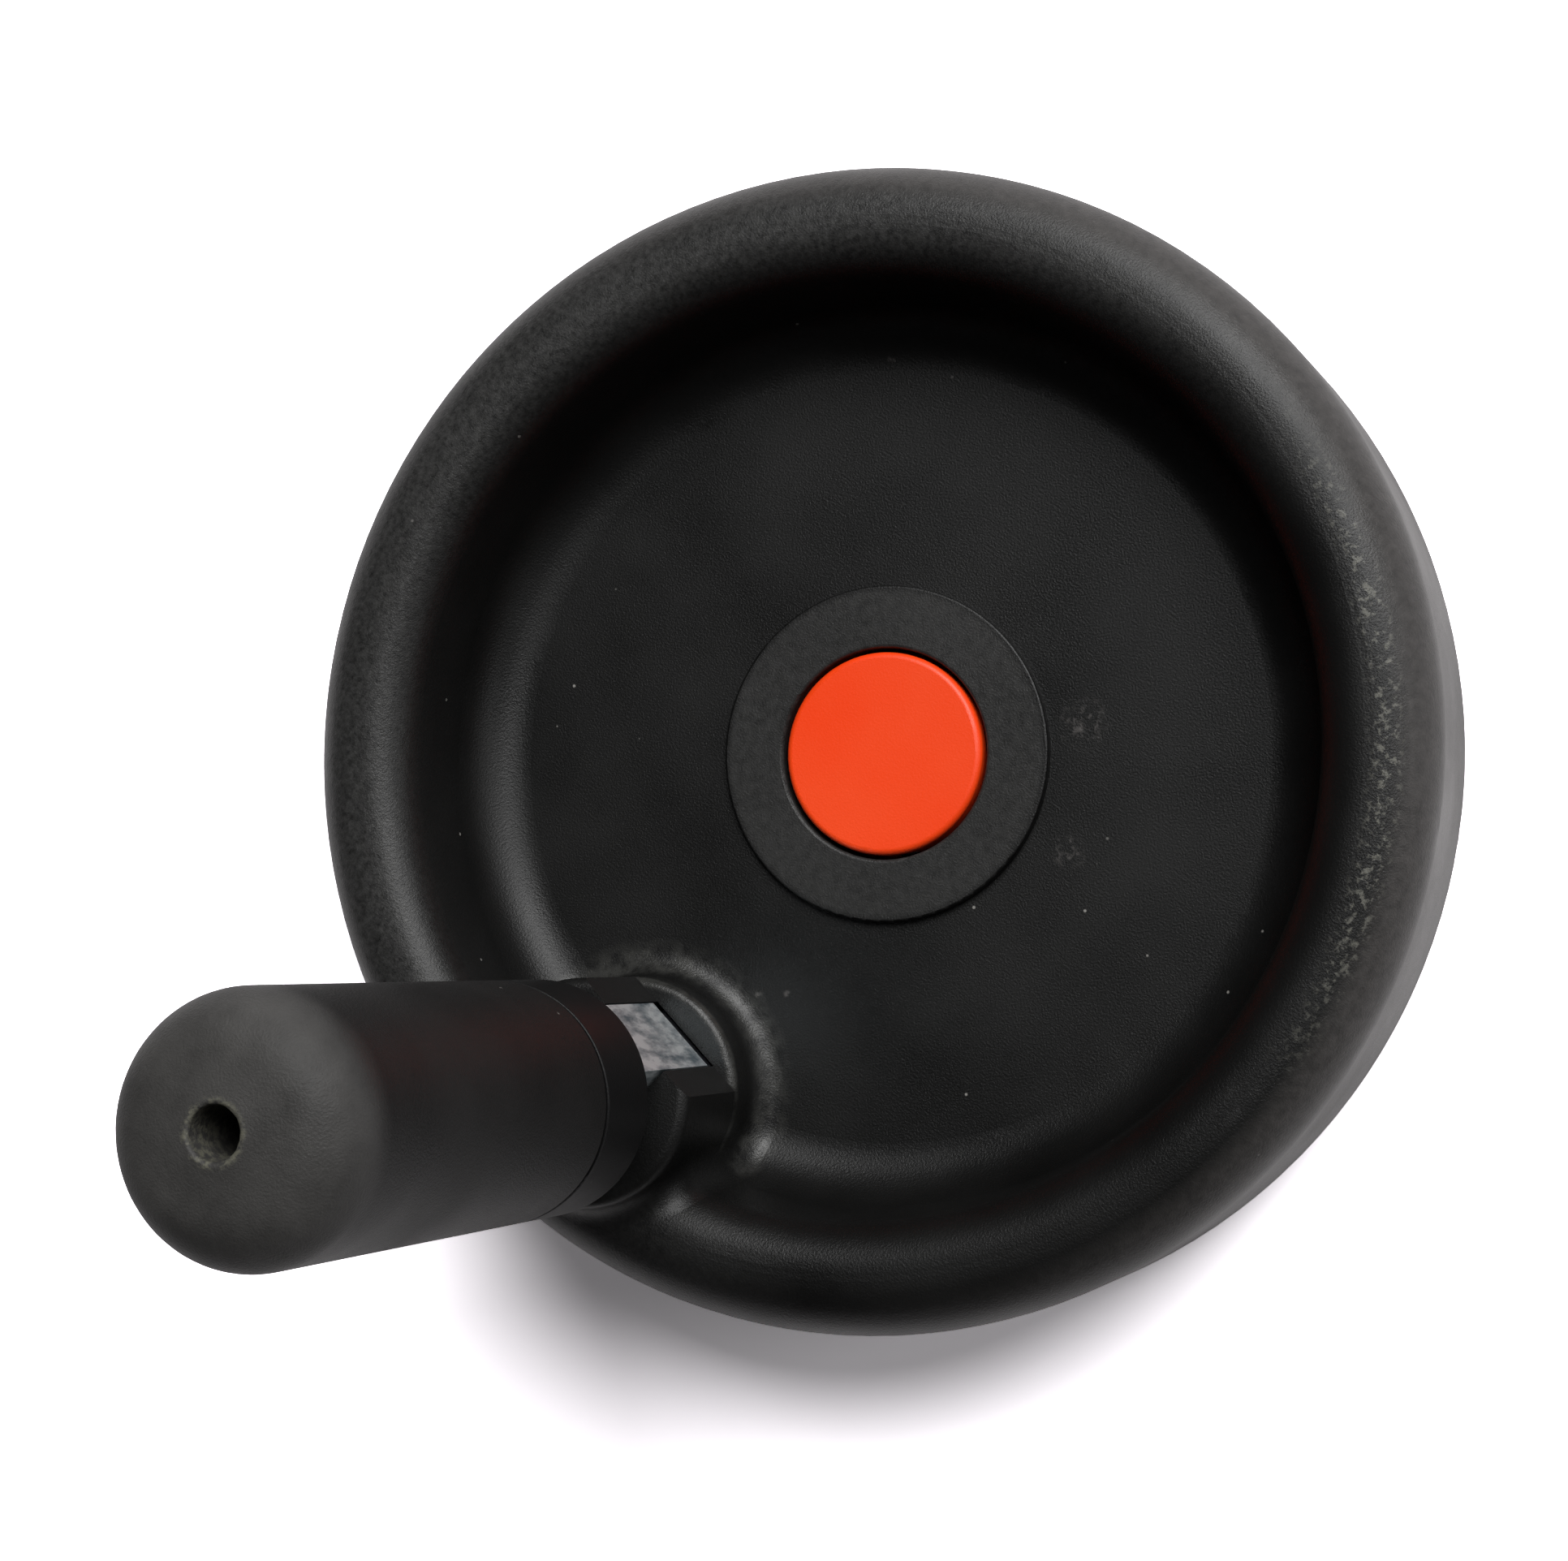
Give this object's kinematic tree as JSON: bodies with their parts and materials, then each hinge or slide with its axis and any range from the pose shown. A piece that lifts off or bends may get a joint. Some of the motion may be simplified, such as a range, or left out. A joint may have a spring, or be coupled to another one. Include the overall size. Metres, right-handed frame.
{
  "type": "machine handwheel",
  "caption": "Dished solid-disc handwheel in black plastic with a keyed steel hub bush, an orange hub cap and a fold-away revolving handle on a slotted boss.",
  "frame": {"origin": "centre of the hub's back face, which sits against the shaft's shoulder", "axes": "+Z along the wheel's axis from the machine to the operator; +X from the axis towards the handle; +Y completes the right-handed frame"},
  "size_m": [0.125, 0.125, 0.1196],
  "materials": {
    "black_plastic": "moulded, fine grained matte black",
    "collar_plastic": "moulded, smooth matte black",
    "grip_plastic": "moulded, fine matte black",
    "orange_plastic": "moulded, satin orange",
    "block_metal": "plated, plain flat faces, slightly mottled",
    "steel": "turned bright steel",
    "spring_steel": "hardened strip, dark"
  },
  "bodies": {
    "wheel": {"wheel_body": "black_plastic", "hub_bush": "steel", "hub_cap": "orange_plastic", "pivot_pin": "steel", "detent_leaf": "spring_steel"},
    "fold_arm": {"pivot_block": "block_metal", "handle_spindle": "steel", "base_collar": "collar_plastic", "retaining_ring": "spring_steel"},
    "grip": {"handle_grip": "grip_plastic"}
  },
  "joints": [
    {"name": "handle_fold", "type": "hinge", "parent": "wheel", "child": "fold_arm", "pos_m": [0.0461, 0, 0.0361], "axis": [-0.1736, -0.9848, 0], "range_deg": [0, 90], "deforming": ["detent_leaf"]},
    {"name": "grip_spin", "type": "hinge", "parent": "fold_arm", "child": "grip", "pos_m": [0.0461, 0, 0.0635], "axis": [0, 0, 1], "continuous": true}
  ]
}
